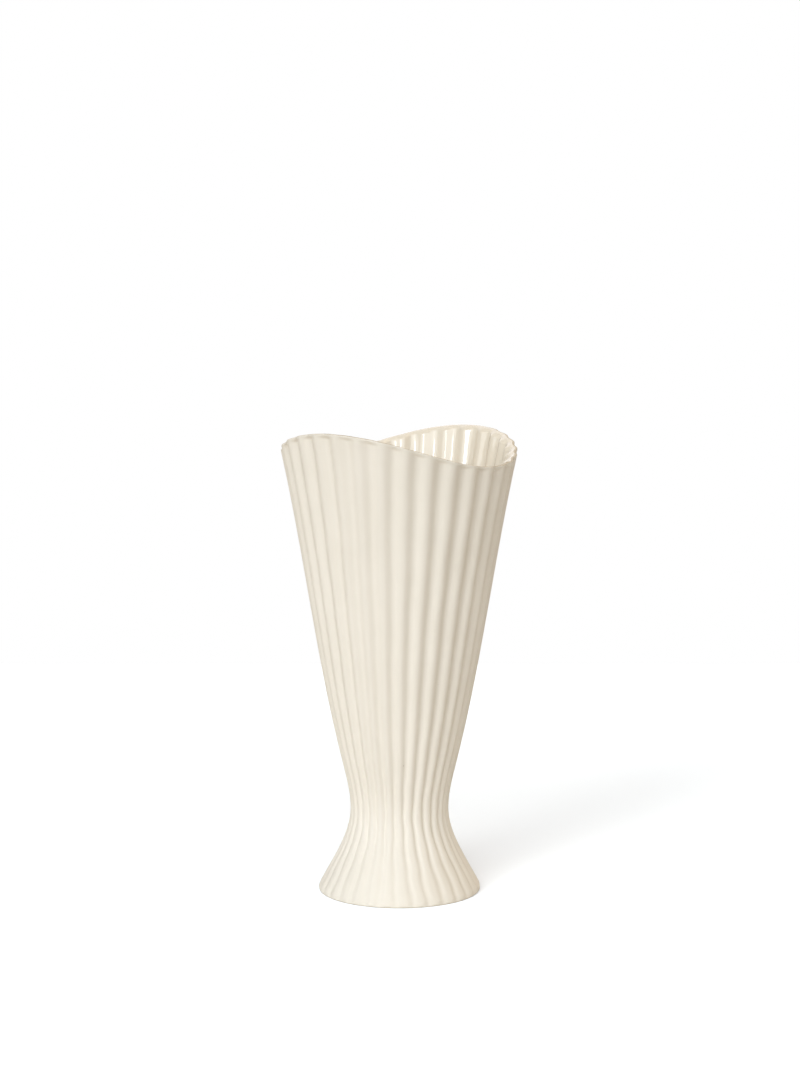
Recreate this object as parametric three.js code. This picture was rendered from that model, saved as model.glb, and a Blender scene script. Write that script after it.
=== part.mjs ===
// A tall fluted ceramic vase with a wavy lip on a flared foot.
// Millimetres, +Z up, standing on the plane z = 0 with its axis on Z.
import * as THREE from "three";

// Heights
const HEIGHT = 250; // table to the lip's two high points
const LIP_DROP = 17.8; // from the high points down to the two low points
const WAIST_HEIGHT = 44.5; // the narrowest place, where the cup stands on the foot
const NECK_LENGTH = 25.5; // stretch above the waist in which the wall turns outwards
const BASE_THICKNESS = 4;

// Radii of the outside, measured over the ribs
const MOUTH_RADIUS = 66; // at the lip's high points
const NECK_RADIUS = 31; // where the neck passes into the cone
const WAIST_RADIUS = 26.6;
const FOOT_RADIUS = 43; // where the foot stands on the base
const BASE_RADIUS = 43.9; // widest place of the base

// Lean of the outside from upright, in degrees
const MOUTH_LEAN = 13.2;
const NECK_LEAN = 13.9;
const FOOT_LEAN = 28.2;

// Walls
const WALL = 3.4; // clay, square to the surface
const GLAZE = 0.6;
const GLAZE_GAP = 0.3; // between the glaze and the clay that it coats
const LIP_EDGE = 0.6; // rounding of the lip's outer edge
const LIP_FALL = 2.2; // height in which the lip's top rounds over to the inside
const BARE_LIP = 0.2; // height of bare clay between that rounding and the edge of the glaze

// Base
const BASE_EDGE_RADIUS = 0.9; // rounding of the lower edge
const RING_WIDTH = 8; // the ring that the vase stands on
const RECESS_DEPTH = 1.2; // of the underside inside the ring

// Flutes
const FLUTE_COUNT = 32;
const GROOVE_FLOOR_SHARE = 0.2; // of the pitch, the flat bottom of a groove
const RIB_CREST_SHARE = 0.34; // of the pitch, the flat top of a rib
const CUP_FLUTE_DEPTH = 2.15; // where the cup is widest, below the lip
const WAIST_FLUTE_DEPTH = 1.15;
const FOOT_FLUTE_DEPTH = 0.7; // at the base, on whose edge they run out
const LIP_FLUTE_DEPTH = 1; // on the lip
const LIP_FADE = 3.5; // height below the lip's edge in which the flutes take on that depth
const GROOVE_AT = 5.6; // degrees from +X towards +Y, one groove at the waist
const CUP_SWAY = 3.6; // degrees that a flute turns about the axis from the waist to the lip
const FOOT_SWAY = 3.2; // the same from the waist down to the base
const LIP_HIGH_AT = 54.2; // degrees from +X towards +Y, one high point of the lip

// Fineness of the surfaces
const NECK_STEPS = 2;
const CONE_STEPS = 3;
const FOOT_STEPS = 4;
const LIP_STEPS = 3;
const BASE_EDGE_STEPS = 3;

const { degToRad, lerp, smoothstep } = THREE.MathUtils;
const PITCH = 360 / FLUTE_COUNT;
const NECK_TOP = WAIST_HEIGHT + NECK_LENGTH;

// One stretch of the outside as radius against height, between two ends with a lean of their own.
function stretch(lower, upper) {
  const third = (upper.height - lower.height) / 3;
  const lowerSlope = Math.tan(degToRad(lower.lean));
  const upperSlope = Math.tan(degToRad(upper.lean));
  return new THREE.CubicBezierCurve(
    new THREE.Vector2(lower.radius, lower.height),
    new THREE.Vector2(lower.radius + lowerSlope * third, lower.height + third),
    new THREE.Vector2(upper.radius - upperSlope * third, upper.height - third),
    new THREE.Vector2(upper.radius, upper.height),
  );
}

const footEnd = { height: BASE_THICKNESS, radius: FOOT_RADIUS, lean: -FOOT_LEAN };
const waist = { height: WAIST_HEIGHT, radius: WAIST_RADIUS, lean: 0 };
const neckEnd = { height: NECK_TOP, radius: NECK_RADIUS, lean: NECK_LEAN };
const mouth = { height: HEIGHT, radius: MOUTH_RADIUS, lean: MOUTH_LEAN };
const footCurve = stretch(footEnd, waist);
const neckCurve = stretch(waist, neckEnd);
const coneCurve = stretch(neckEnd, mouth);

// Radius and slope of the outside over the ribs at a height.
function outside(height) {
  const curve = height < WAIST_HEIGHT ? footCurve : height < NECK_TOP ? neckCurve : coneCurve;
  const along = (height - curve.v0.y) / (curve.v3.y - curve.v0.y);
  const tangent = curve.getTangent(along);
  return { radius: curve.getPoint(along).x, slope: tangent.x / tangent.y };
}

// Height of the lip at an angle about the axis: two high points and two low ones.
function lipHeight(angle) {
  const wave = Math.cos(2 * degToRad(angle - LIP_HIGH_AT));
  return HEIGHT - (LIP_DROP / 2) * (1 - wave);
}

// The lines that run up the wall: both edges of each groove's floor and of each rib's crest, at the waist.
const lines = [];
for (let k = 0; k < FLUTE_COUNT; k++) {
  const groove = GROOVE_AT + k * PITCH;
  const rib = groove + PITCH / 2;
  const floorHalf = (GROOVE_FLOOR_SHARE * PITCH) / 2;
  const crestHalf = (RIB_CREST_SHARE * PITCH) / 2;
  lines.push({ angle: groove - floorHalf, sunk: 1 });
  lines.push({ angle: groove + floorHalf, sunk: 1 });
  lines.push({ angle: rib - crestHalf, sunk: 0 });
  lines.push({ angle: rib + crestHalf, sunk: 0 });
}

function polar(radius, angle, height) {
  const turn = degToRad(angle);
  return new THREE.Vector3(radius * Math.cos(turn), radius * Math.sin(turn), height);
}

// A point of a line on the cup or the foot, at a height and a depth under the outside of the ribs.
function wallPoint(line, height, inset) {
  const top = lipHeight(line.angle + CUP_SWAY);
  const onCup = height >= WAIST_HEIGHT;
  const far = onCup ? top : BASE_THICKNESS;
  const along = (height - WAIST_HEIGHT) / (far - WAIST_HEIGHT);
  const sway = onCup ? CUP_SWAY : FOOT_SWAY;
  const full = lerp(WAIST_FLUTE_DEPTH, onCup ? CUP_FLUTE_DEPTH : FOOT_FLUTE_DEPTH, along);
  const fading = smoothstep(top - LIP_EDGE - height, 0, LIP_FADE);
  const depth = lerp(LIP_FLUTE_DEPTH, full, fading);
  const { radius, slope } = outside(height);
  const across = inset * Math.hypot(1, slope);
  return polar(radius - depth * line.sunk - across, line.angle + sway * along, height);
}

// Heights of a line on the cup, from the waist to an edge at a given depth below the lip.
function cupHeights(line, edgeDepth) {
  const top = lipHeight(line.angle + CUP_SWAY);
  const coneTop = top - LIP_EDGE - LIP_FADE;
  const heights = [];
  for (let k = 0; k < NECK_STEPS; k++) heights.push(lerp(WAIST_HEIGHT, NECK_TOP, k / NECK_STEPS));
  for (let k = 0; k <= CONE_STEPS; k++) heights.push(lerp(NECK_TOP, coneTop, k / CONE_STEPS));
  heights.push(top - edgeDepth);
  return heights;
}

// Heights of a line on the foot, from the base to the waist.
function footHeights() {
  const heights = [];
  for (let k = 0; k <= FOOT_STEPS; k++) heights.push(lerp(BASE_THICKNESS, WAIST_HEIGHT, k / FOOT_STEPS));
  return heights;
}

// Rings of points at a depth under the outside, one for each height of a line.
function rings(heightsOf, inset) {
  const columns = lines.map((line) => heightsOf(line).map((height) => wallPoint(line, height, inset)));
  return columns[0].map((_, row) => columns.map((column) => column[row]));
}

// The lip, from the outside of the wall to the inside: a small rounding, then a broad one from the top down.
function lipRings() {
  const edge = [];
  const fall = [];
  for (let k = 1; k <= LIP_STEPS; k++) {
    const turn = (Math.PI / 2) * (k / LIP_STEPS);
    edge.push({ inset: LIP_EDGE * (1 - Math.cos(turn)), depth: LIP_EDGE * (1 - Math.sin(turn)) });
    fall.push({ inset: lerp(LIP_EDGE, WALL, Math.sin(turn)), depth: LIP_FALL * (1 - Math.cos(turn)) });
  }
  const steps = [...edge, ...fall.slice(0, -1)];
  return steps.map(({ inset, depth }) =>
    lines.map((line) => wallPoint(line, lipHeight(line.angle + CUP_SWAY) - depth, inset)),
  );
}

// A four-sided face split along the diagonal that rises with the angle, so that facing surfaces split alike.
function twoTriangles(points, a, b, c, d) {
  const upwards = points[d].z > points[a].z;
  return upwards ? [a, b, c, a, c, d] : [a, b, d, b, c, d];
}

// A closed surface through rings of points. The last ring joins the first, or a flat fan closes each end.
function skin(loops, joinEnds) {
  const count = lines.length;
  const points = loops.flat();
  const faces = [];
  const bands = joinEnds ? loops.length : loops.length - 1;
  for (let i = 0; i < bands; i++) {
    const lower = i * count;
    const upper = ((i + 1) % loops.length) * count;
    for (let j = 0; j < count; j++) {
      const next = (j + 1) % count;
      faces.push(...twoTriangles(points, lower + j, lower + next, upper + next, upper + j));
    }
  }
  if (!joinEnds) {
    const last = (loops.length - 1) * count;
    const bottom = points.push(new THREE.Vector3(0, 0, points[0].z)) - 1;
    const top = points.push(new THREE.Vector3(0, 0, points[last].z)) - 1;
    for (let j = 0; j < count; j++) {
      const next = (j + 1) % count;
      faces.push(bottom, next, j);
      faces.push(top, last + j, last + next);
    }
  }
  const geometry = new THREE.BufferGeometry().setFromPoints(points);
  geometry.setIndex(faces);
  geometry.computeVertexNormals();
  return geometry;
}

// Cup: the outside up from the waist, over the rounded lip and down the inside.
function cupGeometry() {
  const outer = rings((line) => cupHeights(line, LIP_EDGE), 0);
  const inner = rings((line) => cupHeights(line, LIP_FALL), WALL).reverse();
  return skin([...outer, ...lipRings(), ...inner], true);
}

// Foot: the outside up from the base to the waist and the inside down again.
function footGeometry() {
  const outer = rings(footHeights, 0);
  const inner = rings(footHeights, WALL).reverse();
  return skin([...outer, ...inner], true);
}

// Glaze: a thin lining of foot and cup with a floor on the base, open at the top.
function glazeGeometry() {
  const within = (floor) => (line) => {
    const foot = footHeights().slice(1, -1);
    return [floor, ...foot, ...cupHeights(line, LIP_FALL + BARE_LIP)];
  };
  const outer = rings(within(BASE_THICKNESS), WALL + GLAZE_GAP);
  const inner = rings(within(BASE_THICKNESS + GLAZE), WALL + GLAZE_GAP + GLAZE).reverse();
  return skin([...outer, ...inner], false);
}

// A level ring of the base on the same lines, at a radius over the ribs, with a share of the flutes' depth.
function baseRing(radius, height, share) {
  const depth = share * FOOT_FLUTE_DEPTH;
  return lines.map((line) => polar(radius - depth * line.sunk, line.angle + FOOT_SWAY, height));
}

// Base: a disc on whose rounded edge the flutes run out, with a ring to stand on and a recessed underside.
function baseGeometry() {
  const ringOuter = BASE_RADIUS - BASE_EDGE_RADIUS;
  const ringInner = ringOuter - RING_WIDTH;
  const loops = [baseRing(ringInner - RECESS_DEPTH, RECESS_DEPTH, 0), baseRing(ringInner, 0, 0)];
  for (let k = 0; k <= BASE_EDGE_STEPS; k++) {
    const turn = (Math.PI / 2) * (k / BASE_EDGE_STEPS);
    const out = ringOuter + BASE_EDGE_RADIUS * Math.sin(turn);
    const height = BASE_EDGE_RADIUS * (1 - Math.cos(turn));
    loops.push(baseRing(out, height, height / BASE_EDGE_RADIUS));
  }
  loops.push(baseRing(FOOT_RADIUS, BASE_THICKNESS, 1));
  return skin(loops, false);
}

const clay = { color: 0xece4d6, roughness: 0.72, metalness: 0 };
const bareClay = { color: 0xe4dac9, roughness: 0.85, metalness: 0 };
const glaze = { color: 0xe6dccb, roughness: 0.12, metalness: 0 };

function piece(name, geometry, finish) {
  const mesh = new THREE.Mesh(geometry, new THREE.MeshStandardMaterial(finish));
  mesh.name = name;
  return mesh;
}

const vase = new THREE.Group();
vase.name = "fluted_vase";
vase.add(piece("base_disc", baseGeometry(), bareClay));
vase.add(piece("fluted_foot", footGeometry(), clay));
vase.add(piece("fluted_cup", cupGeometry(), clay));
vase.add(piece("glaze_lining", glazeGeometry(), glaze));

export default vase;
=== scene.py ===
"""A tall fluted ceramic vase with a wavy lip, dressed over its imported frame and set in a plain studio."""

import logging
import math
from collections.abc import Mapping
from dataclasses import dataclass, field
from enum import Enum
from typing import Any

import bpy
import numpy as np
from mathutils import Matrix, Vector


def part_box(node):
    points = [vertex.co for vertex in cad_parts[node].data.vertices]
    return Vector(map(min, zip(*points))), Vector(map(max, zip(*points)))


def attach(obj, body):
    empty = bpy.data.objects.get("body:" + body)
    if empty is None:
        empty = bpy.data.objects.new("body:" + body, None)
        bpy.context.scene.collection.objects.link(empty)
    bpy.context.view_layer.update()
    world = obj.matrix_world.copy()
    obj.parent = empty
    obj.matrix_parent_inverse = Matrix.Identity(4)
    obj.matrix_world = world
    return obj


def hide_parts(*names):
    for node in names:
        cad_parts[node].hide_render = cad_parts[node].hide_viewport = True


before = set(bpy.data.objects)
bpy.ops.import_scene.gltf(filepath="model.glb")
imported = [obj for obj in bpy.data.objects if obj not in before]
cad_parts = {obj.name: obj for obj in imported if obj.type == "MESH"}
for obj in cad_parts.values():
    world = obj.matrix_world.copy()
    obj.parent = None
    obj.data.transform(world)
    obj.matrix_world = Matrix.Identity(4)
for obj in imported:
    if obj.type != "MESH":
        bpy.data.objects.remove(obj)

MM = 0.001
IMAGE_HEIGHT = 1067
BODY = "root"
HUB = 2 * MM  # radius where the rings of a disc end, round the point that closes it
CRISP = 42.0  # degrees between two faces from which their corner isn't smoothed
NOISE_LOW, NOISE_HIGH = 0.3, 0.7  # values between which most of a noise texture lies
MIX_FACTOR, MIX_FIRST, MIX_SECOND, MIX_RESULT = 0, 6, 7, 2  # sockets of a Mix node that is set to colours

log = logging.getLogger("vase")


class Node(str, Enum):
    """Solids of the frame that the pieces stand for."""

    BASE = "base_disc"
    FOOT = "fluted_foot"
    CUP = "fluted_cup"
    LINING = "glaze_lining"


class Slot(str, Enum):
    """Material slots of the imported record."""

    BARE_CLAY = "bare_clay"
    MATT_CLAY = "matt_clay"
    INNER_GLAZE = "inner_glaze"


class Ends(Enum):
    """How a skin of rings is closed."""

    JOINED = "the last ring joins the first"
    CAPPED = "each end runs into a point on the axis"


# Form


def smooth(value: Any, low: float, high: float) -> np.ndarray:
    """Ease from 0 to 1.

    Args:
        value: Where to look.
        low: Where the rise starts.
        high: Where it ends.

    Returns:
        The eased share at each value.
    """
    share = np.clip((value - low) / (high - low), 0.0, 1.0)
    return share * share * (3 - 2 * share)


def spread(low: Any, high: Any, count: int, last: bool = False) -> list[Any]:
    """Even steps from low to high.

    Args:
        low: First value, a number or an array.
        high: Value after the last step.
        count: How many steps.
        last: Whether high itself is in the list.

    Returns:
        The values at the steps.
    """
    return [low + (high - low) * k / count for k in range(count + int(last))]


@dataclass(frozen=True)
class Stretch:
    """A stretch of the outside: radius against height, in metres, with leans in degrees from upright."""

    bottom: float
    top: float
    bottom_radius: float
    top_radius: float
    bottom_lean: float
    top_lean: float

    def at(self, height: np.ndarray) -> tuple[np.ndarray, np.ndarray]:
        """Radius and slope at heights.

        Args:
            height: Heights on this stretch.

        Returns:
            The radii and the slopes, as radius per height.
        """
        span = self.top - self.bottom
        along = (height - self.bottom) / span
        start = math.tan(math.radians(self.bottom_lean)) * span
        end = math.tan(math.radians(self.top_lean)) * span
        rise = self.top_radius - self.bottom_radius
        square = 3 * rise - 2 * start - end
        cube = start + end - 2 * rise
        radius = self.bottom_radius + along * (start + along * (square + along * cube))
        slope = (start + along * (2 * square + along * 3 * cube)) / span
        return radius, slope


@dataclass
class Flutes:
    """The flutes round the wall: their section, their run and how they stray from even, as cut by hand."""

    count: int = 32
    points: int = 20  # round one flute
    groove_at: float = 5.6  # degrees from +X, one groove at the waist
    squareness: float = 0.5  # 0 gives a sine, more gives flatter ribs and grooves
    narrowing: float = 0.1  # more gives broader ribs and narrower grooves
    foot_narrowing: float = 0.75  # the same on the foot, where the grooves are creases
    cup_depth: float = 2.15 * MM
    waist_depth: float = 1.15 * MM
    foot_depth: float = 0.7 * MM
    lip_depth: float = 1.0 * MM
    lip_fade: float = 2.2 * MM  # below the lip's outer edge
    cup_sway: float = 3.6  # degrees about the axis, from the waist to the lip
    foot_sway: float = 3.2  # and from the waist to the base
    uneven_spacing: tuple[tuple[int, float, float], ...] = (  # waves round the vase: number, degrees, phase
        (1, 1.03, 126.3),
        (2, 0.65, 180.0),
        (3, 1.12, 169.7),
    )
    wander: tuple[tuple[float, float, float], ...] = (  # waves up a flute: length, degrees on cup and foot
        (95 * MM, 0.22, 0.3),
        (34 * MM, 0.12, 0.35),
        (17 * MM, 0.0, 0.4),
    )
    foot_reach: tuple[float, float] = (32 * MM, 90 * MM)  # heights where the foot's ways pass into the cup's
    uneven_depth: float = 0.1  # spread of depth from flute to flute, as a share
    seed: int = 11
    angles: np.ndarray = field(init=False)

    def __post_init__(self) -> None:
        """Lay out the lines that run up the wall."""
        total = self.count * self.points
        index = np.arange(total)
        even = self.groove_at + 360.0 * index / total
        self.angles = even + sum(
            size * np.sin(np.radians(number * even + phase)) for number, size, phase in self.uneven_spacing
        )
        draw = np.random.default_rng(self.seed)
        depths = 1 + self.uneven_depth * draw.uniform(-1, 1, self.count)
        self._uneven = depths[np.rint(index / self.points).astype(int) % self.count]
        self._phases = draw.uniform(0, 2 * np.pi, (len(self.wander), self.count))
        self._flute = index // self.points
        self._between = smooth(index / self.points - self._flute, 0.0, 1.0)
        self._turn = 2 * np.pi * index / self.points

    def section(self, narrowing: float) -> np.ndarray:
        """How far each line is sunk, from 0 on a rib to 1 in a groove.

        Args:
            narrowing: How narrow the grooves are.

        Returns:
            The shares, uneven from flute to flute.
        """
        raw = np.tanh(self.squareness * (1 + narrowing) * np.cos(self._turn) - narrowing)
        return (raw - raw.min()) / (raw.max() - raw.min()) * self._uneven

    def sunk(self, height: np.ndarray) -> np.ndarray:
        """How far each line is sunk at heights.

        Args:
            height: Heights, with one column for each line.

        Returns:
            The shares, in the same layout.
        """
        on_foot = 1 - smooth(height, *self.foot_reach)
        cup = self.section(self.narrowing)
        return cup + (self.section(self.foot_narrowing) - cup) * on_foot

    def strayed(self, height: np.ndarray) -> np.ndarray:
        """Degrees by which each line strays at heights.

        Args:
            height: Heights, with one column for each line.

        Returns:
            The degrees, in the same layout.
        """
        degrees = np.zeros_like(height)
        on_foot = 1 - smooth(height, *self.foot_reach)
        following = (self._flute + 1) % self.count
        for (length, cup, foot), phase in zip(self.wander, self._phases):
            turn = 2 * np.pi * height / length
            here = np.sin(turn + phase[self._flute])
            there = np.sin(turn + phase[following])
            degrees += (cup + (foot - cup) * on_foot) * (here + (there - here) * self._between)
        return degrees


@dataclass
class VaseForm:
    """What all pieces share: profile of the outside, wave of the lip, walls and flutes."""

    height: float = 250 * MM  # to the lip's two high points
    lip_drop: float = 17.8 * MM
    lip_high_at: float = 54.2
    neck_length: float = 25.5 * MM
    mouth_radius: float = 66 * MM
    neck_radius: float = 31 * MM
    waist_radius: float = 26.6 * MM
    foot_radius: float = 43 * MM
    mouth_lean: float = 13.2
    neck_lean: float = 13.9
    foot_lean: float = 28.2
    clay: float = 3.4 * MM  # wall, square to the surface
    lip_edge: float = 0.6 * MM  # rounding of the lip's outer edge
    lip_fall: float = 2.2 * MM  # height in which the lip's top rounds over to the inside
    glaze: float = 0.6 * MM
    flutes: Flutes = field(default_factory=Flutes)

    def __post_init__(self) -> None:
        """Take the joints' heights from the frame and lay out the profile."""
        self.base_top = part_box(Node.FOOT.value)[0].z
        self.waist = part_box(Node.CUP.value)[0].z
        self.neck_top = self.waist + self.neck_length
        self._foot = Stretch(
            self.base_top, self.waist, self.foot_radius, self.waist_radius, -self.foot_lean, 0.0
        )
        self._neck = Stretch(
            self.waist, self.neck_top, self.waist_radius, self.neck_radius, 0.0, self.neck_lean
        )
        self._cone = Stretch(
            self.neck_top, self.height, self.neck_radius, self.mouth_radius, self.neck_lean, self.mouth_lean
        )
        self.lip = self.lip_height(self.flutes.angles + self.flutes.cup_sway)

    def lip_height(self, angle: np.ndarray) -> np.ndarray:
        """Height of the lip.

        Args:
            angle: Degrees about the axis.

        Returns:
            The heights, two high points and two low ones.
        """
        wave = np.cos(2 * np.radians(angle - self.lip_high_at))
        return self.height - self.lip_drop / 2 * (1 - wave)

    def outside(self, height: np.ndarray) -> tuple[np.ndarray, np.ndarray]:
        """Radius and slope of the outside over the ribs.

        Args:
            height: Heights above the table.

        Returns:
            The radii and the slopes.
        """
        foot, neck, cone = (s.at(height) for s in (self._foot, self._neck, self._cone))
        below, low = height < self.waist, height < self.neck_top
        return (
            np.where(below, foot[0], np.where(low, neck[0], cone[0])),
            np.where(below, foot[1], np.where(low, neck[1], cone[1])),
        )

    def line_angles(self, height: np.ndarray) -> np.ndarray:
        """Degrees about the axis of each line.

        Args:
            height: Heights, with one column for each line.

        Returns:
            The degrees, in the same layout.
        """
        flutes = self.flutes
        cup = flutes.cup_sway * (height - self.waist) / (self.lip - self.waist)
        foot = flutes.foot_sway * (self.waist - height) / (self.waist - self.base_top)
        return flutes.angles + np.where(height < self.waist, foot, cup) + flutes.strayed(height)

    def flute_depth(self, height: np.ndarray) -> np.ndarray:
        """Depth of the flutes.

        Args:
            height: Heights, with one column for each line.

        Returns:
            The depths from rib to groove, in the same layout.
        """
        flutes = self.flutes
        up = np.clip((height - self.waist) / (self.lip - self.waist), 0.0, 1.0)
        down = np.clip((self.waist - height) / (self.waist - self.base_top), 0.0, 1.0)
        full = flutes.waist_depth + (flutes.cup_depth - flutes.waist_depth) * up
        full = full + (flutes.foot_depth - flutes.waist_depth) * down
        fading = smooth(self.lip - self.lip_edge - height, 0.0, flutes.lip_fade)
        return flutes.lip_depth + (full - flutes.lip_depth) * fading

    def place(self, radius: np.ndarray, angle: np.ndarray, height: np.ndarray) -> np.ndarray:
        """Points from radius, degrees about the axis and height."""
        turn = np.radians(angle)
        return np.stack(np.broadcast_arrays(radius * np.cos(turn), radius * np.sin(turn), height), axis=-1)

    def wall(self, height: np.ndarray, inset: float) -> np.ndarray:
        """A ring of points on the wall.

        Args:
            height: The height of the ring on each line.
            inset: Depth under the outside, square to it.

        Returns:
            The points.
        """
        height = np.broadcast_to(height, self.flutes.angles.shape)
        radius, slope = self.outside(height)
        radius = radius - self.flute_depth(height) * self.flutes.sunk(height) - inset * np.hypot(1.0, slope)
        return self.place(radius, self.line_angles(height), height)

    def over_lip(self, turn: float, proud: float = 0.0) -> np.ndarray:
        """A ring of points where the lip rounds over to the inside.

        Args:
            turn: Radians from the top of the lip down to the inner face of the wall.
            proud: How far the ring stands off the clay.

        Returns:
            The points.
        """
        inset = self.lip_edge + (self.clay - self.lip_edge + proud) * math.sin(turn)
        return self.wall(self.lip - self.lip_fall + (self.lip_fall + proud) * math.cos(turn), inset)

    def level(self, radius: float | np.ndarray, height: float) -> np.ndarray:
        """A level ring on the same lines.

        Args:
            radius: Its radius, one for all or one for each line.
            height: Its height.

        Returns:
            The points.
        """
        heights = np.full(self.flutes.angles.shape, max(height, self.base_top))
        radii = radius * np.ones_like(heights)
        return self.place(radii, self.line_angles(heights), np.full_like(heights, height))


def drawn_in(ring: np.ndarray, by: float | np.ndarray) -> np.ndarray:
    """Draw a ring's points in towards the axis.

    Args:
        ring: The points.
        by: How far, one for all or one for each point.

    Returns:
        The moved points.
    """
    reach = np.linalg.norm(ring[:, :2], axis=1)
    share = (reach - by) / reach
    return ring * np.stack([share, share, np.ones_like(share)], axis=-1)


def skin(name: str, rings: list[np.ndarray], ends: Ends) -> bpy.types.Object:
    """Make one closed mesh through rings of points.

    Args:
        name: Name of the object.
        rings: Rings of equally many points, ordered so that faces look outwards.
        ends: How the skin closes.

    Returns:
        The object, in the scene and smoothly shaded with crisp corners.
    """
    count = len(rings[0])
    points = np.concatenate(rings)
    rows = len(rings)
    low = np.arange(rows if ends is Ends.JOINED else rows - 1)[:, None]
    here = np.arange(count)[None, :]
    beside = (here + 1) % count
    high = (low + 1) % rows
    corners = (low * count + here, low * count + beside, high * count + beside, high * count + here)
    faces = np.stack(corners, axis=-1).reshape(-1, 4).tolist()
    if ends is Ends.CAPPED:
        first, last = len(points), len(points) + 1
        poles = [[0.0, 0.0, rings[0][:, 2].mean()], [0.0, 0.0, rings[-1][:, 2].mean()]]
        points = np.concatenate([points, poles])
        top = (rows - 1) * count
        for j in range(count):
            following = (j + 1) % count
            faces.append([first, following, j])
            faces.append([last, top + j, top + following])
    mesh = bpy.data.meshes.new(name)
    mesh.from_pydata(points.tolist(), [], faces)
    mesh.polygons.foreach_set("use_smooth", [True] * len(mesh.polygons))
    mesh.set_sharp_from_angle(angle=math.radians(CRISP))
    mesh.update()
    made = bpy.data.objects.new(name, mesh)
    bpy.context.scene.collection.objects.link(made)
    return made


# Finishes


def linear(code: str) -> tuple[float, float, float, float]:
    """Turn an sRGB hex colour to linear.

    Args:
        code: Colour such as "#efe7db".

    Returns:
        Linear red, green and blue, and an alpha of 1.
    """
    parts = [int(code[k : k + 2], 16) / 255 for k in (1, 3, 5)]
    red, green, blue = (p / 12.92 if p <= 0.04045 else ((p + 0.055) / 1.055) ** 2.4 for p in parts)
    return red, green, blue, 1.0


def add_node(
    tree: bpy.types.NodeTree,
    kind: str,
    settings: Mapping[str, Any] | None = None,
    values: Mapping[Any, Any] | None = None,
    links: Mapping[Any, bpy.types.NodeSocket] | None = None,
) -> bpy.types.Node:
    """Add one node.

    Args:
        tree: Tree to add it to.
        kind: Type of the node.
        settings: Attributes of the node.
        values: Values of its input sockets, by name or number.
        links: Output sockets that feed its inputs, by name or number.

    Returns:
        The node.
    """
    made = tree.nodes.new(kind)
    for key, value in (settings or {}).items():
        setattr(made, key, value)
    for key, value in (values or {}).items():
        made.inputs[key].default_value = value
    for key, socket in (links or {}).items():
        tree.links.new(socket, made.inputs[key])
    return made


def drifting(
    tree: bpy.types.NodeTree, noise: bpy.types.NodeSocket, low: float, high: float
) -> bpy.types.NodeSocket:
    """Add a value that drifts with a noise.

    Args:
        tree: Tree to add the node to.
        noise: The noise's socket.
        low: The value where the noise is low.
        high: The value where it is high.

    Returns:
        The value's socket.
    """
    return add_node(
        tree,
        "ShaderNodeMapRange",
        values={"From Min": NOISE_LOW, "From Max": NOISE_HIGH, "To Min": low, "To Max": high},
        links={"Value": noise},
    ).outputs["Result"]


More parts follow.
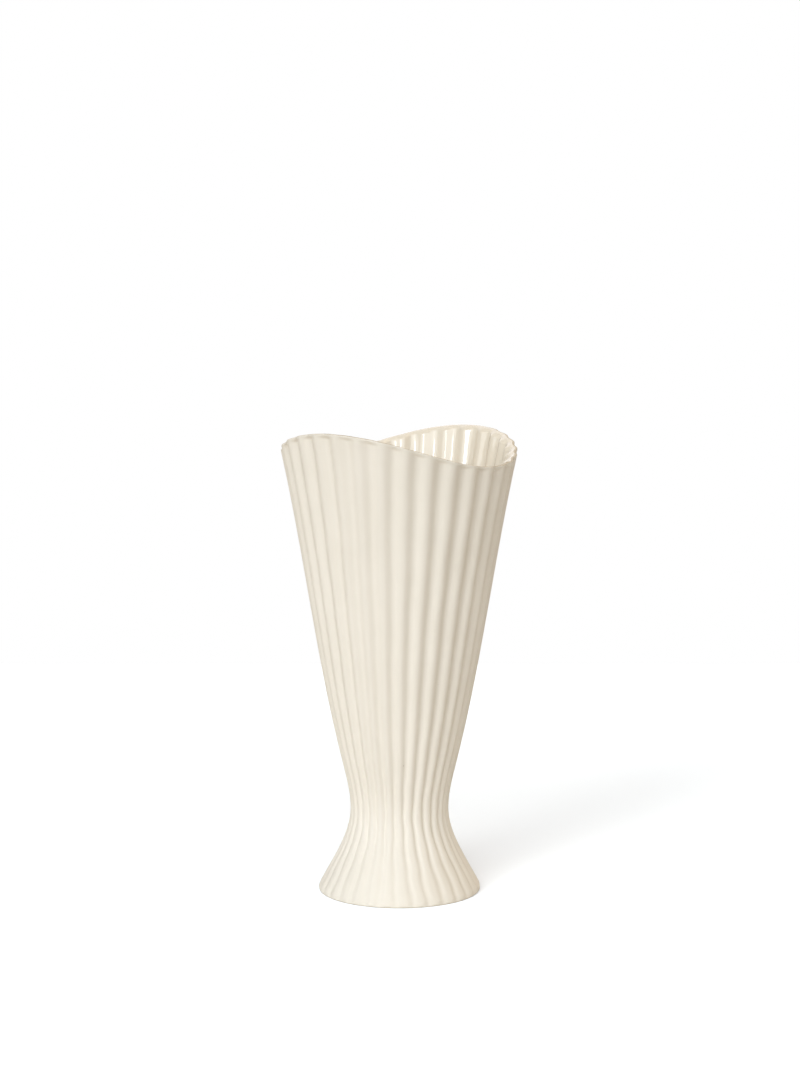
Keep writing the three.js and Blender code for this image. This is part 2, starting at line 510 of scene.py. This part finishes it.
@dataclass(frozen=True)
class Ceramic:
    """A fired ceramic surface with the unevenness that its making leaves."""

    name: str
    body: str  # main colour
    cloud: str  # colour that it drifts to in soft clouds
    cloud_size: float  # metres across
    roughness: float
    roughness_drift: float
    ior: float
    grain_size: float  # metres across a grain or ripple
    grain_height: float  # metres
    pinhole_spacing: float  # metres between the cells that may hold one
    pinhole_size: float  # metres across
    pinhole_share: float  # share of the cells that hold one
    pinhole: str  # colour down in a pinhole

    def holes(self, tree: bpy.types.NodeTree, where: bpy.types.NodeSocket) -> bpy.types.NodeSocket:
        """A value that is 1 down in a pinhole and 0 elsewhere.

        Args:
            tree: Tree to add the nodes to.
            where: Socket of the place on the object.

        Returns:
            The value's socket.
        """
        cells = add_node(
            tree,
            "ShaderNodeTexVoronoi",
            values={"Scale": 1 / self.pinhole_spacing, "Randomness": 1.0},
            links={"Vector": where},
        )
        chosen = add_node(
            tree,
            "ShaderNodeSeparateColor",
            links={"Color": cells.outputs["Color"]},
        ).outputs["Red"]
        holds = add_node(
            tree,
            "ShaderNodeMath",
            settings={"operation": "LESS_THAN"},
            values={1: self.pinhole_share},
            links={0: chosen},
        ).outputs[0]
        reach = self.pinhole_size / 2 / self.pinhole_spacing
        near = add_node(
            tree,
            "ShaderNodeMapRange",
            settings={"interpolation_type": "SMOOTHSTEP"},
            values={"From Min": 0.5 * reach, "From Max": reach, "To Min": 1.0, "To Max": 0.0},
            links={"Value": cells.outputs["Distance"]},
        ).outputs["Result"]
        return add_node(
            tree,
            "ShaderNodeMath",
            settings={"operation": "MULTIPLY"},
            links={0: near, 1: holds},
        ).outputs[0]

    def material(self) -> bpy.types.Material:
        """Build the material.

        Returns:
            The finished material.
        """
        made = bpy.data.materials.new(self.name)
        made.use_nodes = True
        tree = made.node_tree
        tree.nodes.clear()
        where = add_node(tree, "ShaderNodeTexCoord").outputs["Object"]
        hole = self.holes(tree, where)
        clouds = add_node(
            tree,
            "ShaderNodeTexNoise",
            values={"Scale": 1 / self.cloud_size, "Detail": 3.0, "Roughness": 0.55},
            links={"Vector": where},
        ).outputs["Fac"]
        tone = add_node(
            tree,
            "ShaderNodeMix",
            settings={"data_type": "RGBA"},
            values={MIX_FIRST: linear(self.body), MIX_SECOND: linear(self.cloud)},
            links={MIX_FACTOR: drifting(tree, clouds, 0.0, 1.0)},
        ).outputs[MIX_RESULT]
        colour = add_node(
            tree,
            "ShaderNodeMix",
            settings={"data_type": "RGBA"},
            values={MIX_SECOND: linear(self.pinhole)},
            links={MIX_FACTOR: hole, MIX_FIRST: tone},
        ).outputs[MIX_RESULT]
        grain = add_node(
            tree,
            "ShaderNodeTexNoise",
            values={"Scale": 1 / self.grain_size, "Detail": 2.0, "Roughness": 0.5},
            links={"Vector": where},
        ).outputs["Fac"]
        relief = add_node(
            tree,
            "ShaderNodeMath",
            settings={"operation": "SUBTRACT"},
            links={0: grain, 1: hole},
        ).outputs[0]
        normal = add_node(
            tree,
            "ShaderNodeBump",
            values={"Strength": 1.0, "Distance": self.grain_height},
            links={"Height": relief},
        ).outputs["Normal"]
        least, most = self.roughness - self.roughness_drift, self.roughness + self.roughness_drift
        rough = drifting(tree, clouds, least, most)
        shader = add_node(
            tree,
            "ShaderNodeBsdfPrincipled",
            values={"IOR": self.ior, "Metallic": 0.0},
            links={"Base Color": colour, "Roughness": rough, "Normal": normal},
        )
        add_node(tree, "ShaderNodeOutputMaterial", links={"Surface": shader.outputs["BSDF"]})
        return made


# Dense off-white stoneware, cast in a mould, fettled by hand and left matt: an even chalky skin that throws
# no gloss, with faint clouds of a greyer tone and a few pinholes where air came out. The grain is finer than
# a pixel and is drawn coarser to show.
MATT_STONEWARE = Ceramic(
    name="matt_stoneware",
    body="#ede7dd",
    cloud="#e9e3d8",
    cloud_size=34 * MM,
    roughness=0.74,
    roughness_drift=0.05,
    ior=1.5,
    grain_size=0.9 * MM,
    grain_height=0.02 * MM,
    pinhole_spacing=16 * MM,
    pinhole_size=0.8 * MM,
    pinhole_share=0.5,
    pinhole="#c2b8a9",
)

# The same stoneware where it was sponged and left bare under the base: drier, darker and more grainy.
SPONGED_STONEWARE = Ceramic(
    name="sponged_stoneware",
    body="#efe7d9",
    cloud="#e6dccb",
    cloud_size=18 * MM,
    roughness=0.86,
    roughness_drift=0.04,
    ior=1.48,
    grain_size=0.7 * MM,
    grain_height=0.04 * MM,
    pinhole_spacing=9 * MM,
    pinhole_size=0.8 * MM,
    pinhole_share=0.2,
    pinhole="#8f8273",
)

# Painted shade: a darker thin line on the lip's edge, standing in for its shadowed edge, and along the foot
# of the base, standing in for the contact shadow on the table.
SHADOW_LINE = Ceramic(
    name="painted_shadow_line",
    body="#d3c8b6",
    cloud="#c9bda9",
    cloud_size=12 * MM,
    roughness=0.8,
    roughness_drift=0.05,
    ior=1.48,
    grain_size=0.7 * MM,
    grain_height=0.02 * MM,
    pinhole_spacing=9 * MM,
    pinhole_size=0.6 * MM,
    pinhole_share=0.1,
    pinhole="#8f8273",
)

# Clear cream glaze, poured in and out again: glassy, a little warmer than the clay, and gently rippled where
# it ran, which makes its highlights waver.
CREAM_GLAZE = Ceramic(
    name="cream_glaze",
    body="#e6dccb",
    cloud="#e0d5c2",
    cloud_size=40 * MM,
    roughness=0.05,
    roughness_drift=0.02,
    ior=1.62,
    grain_size=7 * MM,
    grain_height=0.12 * MM,
    pinhole_spacing=20 * MM,
    pinhole_size=0.7 * MM,
    pinhole_share=0.06,
    pinhole="#b5a78f",
)


# Pieces


def hand_over(piece: bpy.types.Object, finish: bpy.types.Material, node: Node) -> None:
    """Dress a piece and tie it to the frame.

    Args:
        piece: The new piece.
        finish: Its material.
        node: The solid that it stands for.
    """
    piece.data.materials.append(finish)
    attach(piece, BODY)
    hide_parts(node.value)
    log.info("%s stands for %s: %d faces, %s", piece.name, node.value, len(piece.data.polygons), finish.name)


@dataclass
class FlutedCup:
    """The tall cup from the waist to the wavy lip."""

    form: VaseForm
    neck_rows: int = 26
    cone_rows: int = 44
    fade_rows: int = 10
    edge_rows: int = 5
    lip_rows: int = 10
    hidden_rows: int = 10  # down the inside, behind the glaze

    def lip(self) -> list[np.ndarray]:
        """Lay the lip.

        Returns:
            Rings round the lip's outer edge and over its top to the inside of the wall.
        """
        form = self.form
        rows = []
        for turn in spread(0.0, math.pi / 2, self.edge_rows):
            height = form.lip - form.lip_edge * (1 - math.sin(turn))
            rows.append(form.wall(height, form.lip_edge * (1 - math.cos(turn))))
        return rows + [form.over_lip(turn) for turn in spread(0.0, math.pi / 2, self.lip_rows)]

    def build(self) -> bpy.types.Object:
        """Make the cup's mesh: up the outside, over the lip and down the inside.

        Returns:
            The cup.
        """
        form = self.form
        edge = form.lip - form.lip_edge
        fade = edge - form.flutes.lip_fade
        inside = form.lip - form.lip_fall
        outer = spread(form.waist, form.neck_top, self.neck_rows)
        outer += spread(form.neck_top, fade, self.cone_rows) + spread(fade, edge, self.fade_rows)
        inner = spread(inside, fade, self.fade_rows) + spread(fade, form.waist, self.hidden_rows, last=True)
        rings = [form.wall(height, 0.0) for height in outer] + self.lip()
        return skin("cup", rings + [form.wall(height, form.clay) for height in inner], Ends.JOINED)

    def dress(self, piece: bpy.types.Object, finish: bpy.types.Material, edge: bpy.types.Material) -> None:
        """Give the cup its two finishes and its place in the frame.

        Args:
            piece: The cup.
            finish: Finish of the wall.
            edge: Finish of the lip's edge, darker as painted shade.
        """
        hand_over(piece, finish, Node.CUP)
        piece.data.materials.append(edge)
        # Faces from halfway round the outer edge to halfway over the lip's top take the darker finish,
        # painted shade along the edge.
        below = self.neck_rows + self.cone_rows + self.fade_rows
        first = below + self.edge_rows // 2
        last = below + self.edge_rows + self.lip_rows // 2
        for face in piece.data.polygons:
            row = face.index // len(self.form.lip)
            face.material_index = int(first <= row < last)


@dataclass
class FlutedFoot:
    """The flared hollow foot between the base and the waist."""

    form: VaseForm
    rows: int = 40
    hidden_rows: int = 10

    def build(self) -> bpy.types.Object:
        """Make the foot's mesh: up the outside and down the inside.

        Returns:
            The foot.
        """
        form = self.form
        outer = spread(form.base_top, form.waist, self.rows, last=True)
        inner = spread(form.waist, form.base_top, self.hidden_rows, last=True)
        rings = [form.wall(height, 0.0) for height in outer]
        return skin("foot", rings + [form.wall(height, form.clay) for height in inner], Ends.JOINED)

    def dress(self, piece: bpy.types.Object, finish: bpy.types.Material) -> None:
        """Give the foot its finish and its place in the frame."""
        hand_over(piece, finish, Node.FOOT)


@dataclass
class BaseDisc:
    """The disc that closes the foot: the flutes run out on its edge, and it stands on a ring."""

    form: VaseForm
    edge_pull: float = 2.8 * MM  # how far the edge goes on along the foot before it turns under
    under_pull: float = 0.6 * MM  # and along the table
    edge_tuck: float = -0.1 * MM  # from the foot's radius in to the ring's outer edge
    flute_end: float = 1.2 * MM  # height to which the flutes keep their depth
    ring_width: float = 8 * MM
    recess: float = 1.2 * MM
    recess_slope: float = 2.0  # run of the step from the ring up to the recess, per height
    seat: float = 6.8 * MM  # from the foot's radius in to a ring on the top, past the foot's wall
    recess_rows: int = 6
    slope_rows: int = 6
    edge_rows: int = 14
    shadow_rows: int = 5  # the lowest of these, a line of painted contact shadow

    def edge(self) -> list[np.ndarray]:
        """Lay the edge, with the flutes growing out of it.

        Returns:
            Rings from the standing ring up round the edge to the foot.
        """
        form = self.form
        slope = math.tan(math.radians(form.foot_lean))
        ring = form.foot_radius - self.edge_tuck
        sunk = form.flutes.sunk(np.full(form.flutes.angles.shape, form.base_top))
        corners = np.array(
            [
                (ring, 0.0),
                (ring + self.under_pull, 0.0),
                (form.foot_radius + slope * self.edge_pull, form.base_top - self.edge_pull),
                (form.foot_radius, form.base_top),
            ]
        )
        rows = []
        for t in spread(0.0, 1.0, self.edge_rows, last=True):
            weights = np.array([(1 - t) ** 3, 3 * t * (1 - t) ** 2, 3 * t * t * (1 - t), t**3])
            radius, height = weights @ corners
            depth = form.flutes.foot_depth * smooth(height, 0.0, self.flute_end)
            rows.append(form.level(radius - depth * sunk, height))
        return rows

    def build(self) -> bpy.types.Object:
        """Make the disc's mesh from the middle of its underside, over the edge, to the middle of its top.

        Returns:
            The base.
        """
        form = self.form
        run = self.recess_slope * self.recess
        recess_edge = form.foot_radius - self.edge_tuck - self.ring_width - run
        rings = [form.level(r, self.recess) for r in spread(HUB, recess_edge, self.recess_rows)]
        for share in spread(0.0, 1.0, self.slope_rows, last=True):
            eased = float(smooth(share, 0.0, 1.0))
            rings.append(form.level(recess_edge + run * share, self.recess * (1 - eased)))
        rings += self.edge()
        rings += [form.level(r, form.base_top) for r in (form.foot_radius - self.seat, HUB)]
        return skin("base", rings, Ends.CAPPED)

    def dress(
        self,
        piece: bpy.types.Object,
        edge: bpy.types.Material,
        under: bpy.types.Material,
        line: bpy.types.Material,
    ) -> None:
        """Give the base its three finishes and its place in the frame.

        Args:
            piece: The base.
            edge: Finish of the edge, as on the foot.
            under: Finish of the underside.
            line: Finish of the darker line along the table, a painted contact shadow.
        """
        hand_over(piece, under, Node.BASE)
        piece.data.materials.append(edge)
        piece.data.materials.append(line)
        # The lowest rows of the edge, where it meets the table, take the darker finish: a painted contact
        # shadow.
        first = self.recess_rows + self.slope_rows + 1
        for face in piece.data.polygons:
            row = face.index // len(self.form.lip) - first
            face.material_index = int(0 <= row < self.edge_rows) + int(0 <= row < self.shadow_rows)


@dataclass
class GlazeLining:
    """The glaze inside, from a floor on the base up over the rounding of the lip."""

    form: VaseForm
    gap: float = 0.05 * MM  # to the clay
    edge: float = 0.06 * MM  # thickness that it thins to on the lip
    bare: float = 14.0  # degrees of the lip's rounding that it leaves bare at the top
    kept: float = 0.8  # share of the flutes' depth that it keeps: it lies thicker in their hollows
    ridge: float = 0.85  # power of the ridges between the hollows, less gives sharper ones
    thickening: float = 4 * MM  # height in which that starts below the lip
    pool: float = 5 * MM  # height of the rounding where it pooled in the corner of the floor
    pool_reach: float = 3.5 * MM  # and how far that reaches in along the floor
    floor_end: float = 0.06  # share of the floor's radius where its rings end
    floor_rows: int = 6
    pool_rows: int = 8
    foot_rows: int = 16
    neck_rows: int = 18
    cone_rows: int = 44
    fade_rows: int = 8
    lip_rows: int = 8
    hidden_rows: int = 10

    def face(self, height: np.ndarray) -> np.ndarray:
        """A ring of points on the glaze's face.

        Args:
            height: The height of the ring on each line.

        Returns:
            The points.
        """
        form = self.form
        ring = form.wall(height, form.clay + self.gap + form.glaze)
        heights = ring[:, 2]
        sunk = form.flutes.sunk(heights)
        filled = 1 - self.kept * np.maximum(1 - sunk, 0.0) ** self.ridge - sunk
        thicker = form.flute_depth(heights) * filled
        thicker = thicker * smooth(form.lip - form.lip_fall - heights, 0.0, self.thickening)
        return drawn_in(ring, thicker)

    def build(self) -> bpy.types.Object:
        """Make the lining's mesh: up against the clay, over its edge and down to the floor inside.

        Returns:
            The lining.
        """
        form = self.form
        behind = form.clay + self.gap
        top = form.lip - form.lip_fall
        fade = form.lip - form.lip_edge - form.flutes.lip_fade
        floor = form.base_top + form.glaze
        back = spread(form.base_top, form.waist, self.hidden_rows)
        back += spread(form.waist, fade, self.hidden_rows)
        back += spread(fade, top, self.fade_rows)
        rings = [form.level(HUB, form.base_top)] + [form.wall(height, behind) for height in back]
        turns = spread(math.pi / 2, math.radians(self.bare), self.lip_rows, last=True)
        rings += [form.over_lip(turn, self.gap) for turn in turns]
        thinned = spread(form.glaze, self.edge, self.lip_rows, last=True)
        rings += [form.over_lip(turn, self.gap + thick) for turn, thick in zip(turns[::-1], thinned[::-1])]
        front = spread(top, fade, self.fade_rows)[1:]
        front += spread(fade, form.neck_top, self.cone_rows)
        front += spread(form.neck_top, form.waist, self.neck_rows)
        front += spread(form.waist, floor + self.pool, self.foot_rows)
        rings += [self.face(height) for height in front]
        corner = self.face(floor + self.pool)
        for turn in spread(0.0, math.pi / 2, self.pool_rows, last=True):
            ring = drawn_in(corner, self.pool_reach * (1 - math.cos(turn)))
            ring[:, 2] = floor + self.pool * (1 - math.sin(turn))
            rings.append(ring)
        last = rings[-1]
        for share in spread(1.0, self.floor_end, self.floor_rows)[1:]:
            rings.append(last * [share, share, 1.0])
        return skin("glaze", rings, Ends.CAPPED)

    def dress(self, piece: bpy.types.Object, finish: bpy.types.Material) -> None:
        """Give the glaze its finish and its place in the frame."""
        hand_over(piece, finish, Node.LINING)


# Studio


@dataclass(frozen=True)
class Lamp:
    """A broad soft lamp so far off that it lights everything alike."""

    name: str
    azimuth: float  # degrees from the camera's side, to its right
    elevation: float
    strength: float
    softness: float  # degrees that it spans in the sky
    colour: str = "#ffffff"

    def build(self) -> bpy.types.Object:
        """Hang the lamp.

        Returns:
            The lamp's object.
        """
        light = bpy.data.lights.new(self.name, "SUN")
        light.energy = self.strength
        light.color = linear(self.colour)[:3]
        light.angle = math.radians(self.softness)
        made = bpy.data.objects.new(self.name, light)
        side, lift = math.radians(self.azimuth), math.radians(self.elevation)
        towards = Vector(
            (math.sin(side) * math.cos(lift), -math.cos(side) * math.cos(lift), math.sin(lift))
        )
        made.rotation_mode = "QUATERNION"
        made.rotation_quaternion = towards.to_track_quat("Z", "Y")
        bpy.context.scene.collection.objects.link(made)
        return made


@dataclass
class Studio:
    """A white floor, white surroundings, soft lamps and the camera of the photograph."""

    floor_reach: float = 0.8  # metres from the vase to each side
    floor_colour: str = "#f0eee9"
    floor_glow: float = 0.28  # what the camera sees on top of the floor's own light, so that it is white
    glow_colour: str = "#c4ddff"
    fill: float = 0.29  # strength of the surroundings on the vase
    fill_colour: str = "#fff0da"
    lamps: tuple[Lamp, ...] = (
        Lamp("key_left", azimuth=-44.0, elevation=25.0, strength=0.9, softness=44.0, colour="#f1f9ff"),
        Lamp("key_front", azimuth=-7.0, elevation=25.0, strength=1.37, softness=48.0, colour="#f1f9ff"),
        Lamp("key_core", azimuth=-34.0, elevation=21.0, strength=0.3, softness=12.0, colour="#f1f9ff"),
        Lamp("side", azimuth=110.0, elevation=62.0, strength=0.72, softness=60.0, colour="#ffe9cb"),
        Lamp("back", azimuth=168.0, elevation=32.0, strength=0.5, softness=70.0, colour="#fbf9ff"),
    )
    camera_distance: float = 1.2  # metres, like the next three
    camera_height: float = 0.307
    camera_aside: float = 0.27 * MM
    aim_height: float = 0.1939  # where its line of sight meets the vase's axis
    focal_pixels: float = 2245.0  # focal length in the photograph's pixels
    sensor: float = 36.0  # millimetres, on the longer side

    def seen(self, tree: bpy.types.NodeTree) -> bpy.types.NodeSocket:
        """1 where the camera sees a surface, straight or in gloss or glass, and 0 elsewhere.

        Args:
            tree: Tree to add the nodes to.

        Returns:
            The socket.
        """
        path = add_node(tree, "ShaderNodeLightPath")
        mirrored = add_node(
            tree,
            "ShaderNodeMath",
            settings={"operation": "MAXIMUM"},
            links={0: path.outputs["Is Glossy Ray"], 1: path.outputs["Is Transmission Ray"]},
        )
        both = add_node(
            tree,
            "ShaderNodeMath",
            settings={"operation": "MAXIMUM"},
            links={0: path.outputs["Is Camera Ray"], 1: mirrored.outputs[0]},
        )
        return both.outputs[0]

    def lay_floor(self) -> bpy.types.Object:
        """Lay the floor.

        Returns:
            The floor.
        """
        mesh = bpy.data.meshes.new("floor")
        reach = self.floor_reach
        corners = [(-reach, -reach, 0), (reach, -reach, 0), (reach, reach, 0), (-reach, reach, 0)]
        mesh.from_pydata(corners, [], [(0, 1, 2, 3)])
        floor = bpy.data.objects.new("floor", mesh)
        bpy.context.scene.collection.objects.link(floor)
        paper = bpy.data.materials.new("white_paper")
        paper.use_nodes = True
        tree = paper.node_tree
        tree.nodes.clear()
        sheet = add_node(
            tree, "ShaderNodeBsdfDiffuse", values={"Color": linear(self.floor_colour), "Roughness": 1.0}
        )
        strength = add_node(
            tree,
            "ShaderNodeMath",
            settings={"operation": "MULTIPLY"},
            values={1: self.floor_glow},
            links={0: self.seen(tree)},
        )
        glow = add_node(
            tree,
            "ShaderNodeEmission",
            values={"Color": linear(self.glow_colour)},
            links={"Strength": strength.outputs[0]},
        )
        both = add_node(tree, "ShaderNodeAddShader", links={0: sheet.outputs[0], 1: glow.outputs[0]})
        add_node(tree, "ShaderNodeOutputMaterial", links={"Surface": both.outputs[0]})
        mesh.materials.append(paper)
        return floor

    def light_surroundings(self) -> None:
        """Set the world: a weak fill for the object, plain white for the camera."""
        world = bpy.data.worlds.new("studio")
        world.use_nodes = True
        tree = world.node_tree
        tree.nodes.clear()
        fill = add_node(
            tree, "ShaderNodeBackground", values={"Color": linear(self.fill_colour), "Strength": self.fill}
        )
        white = add_node(tree, "ShaderNodeBackground", values={"Color": (1, 1, 1, 1), "Strength": 1.0})
        mixed = add_node(
            tree,
            "ShaderNodeMixShader",
            links={0: self.seen(tree), 1: fill.outputs[0], 2: white.outputs[0]},
        )
        add_node(tree, "ShaderNodeOutputWorld", links={"Surface": mixed.outputs[0]})
        bpy.context.scene.world = world

    def set_camera(self) -> None:
        """Set up the camera where the photograph was taken from."""
        data = bpy.data.cameras.new("camera")
        data.sensor_width = self.sensor
        data.lens = self.focal_pixels / IMAGE_HEIGHT * self.sensor
        camera = bpy.data.objects.new("camera", data)
        camera.location = (self.camera_aside, -self.camera_distance, self.camera_height)
        down = math.atan2(self.camera_height - self.aim_height, self.camera_distance)
        camera.rotation_euler = (math.pi / 2 - down, 0.0, 0.0)
        bpy.context.scene.collection.objects.link(camera)
        bpy.context.scene.camera = camera

    def build(self) -> None:
        """Set up floor, surroundings, lamps and camera."""
        self.lay_floor()
        self.light_surroundings()
        for lamp in self.lamps:
            lamp.build()
        self.set_camera()
        bpy.context.scene.view_settings.view_transform = "Standard"


def main() -> None:
    """Build and dress the vase in its studio."""
    logging.basicConfig(level=logging.INFO, format="%(name)s: %(message)s")
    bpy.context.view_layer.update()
    form = VaseForm()
    # The darker edge finish is painted shade: a line along the lip's edge and a contact shadow along the
    # base's foot.
    stoneware, edge_shadow = MATT_STONEWARE.material(), SHADOW_LINE.material()
    base, foot, cup, lining = BaseDisc(form), FlutedFoot(form), FlutedCup(form), GlazeLining(form)
    base.dress(base.build(), stoneware, SPONGED_STONEWARE.material(), edge_shadow)
    foot.dress(foot.build(), stoneware)
    cup.dress(cup.build(), stoneware, edge_shadow)
    lining.dress(lining.build(), CREAM_GLAZE.material())
    Studio().build()


if __name__ == "__main__":
    main()
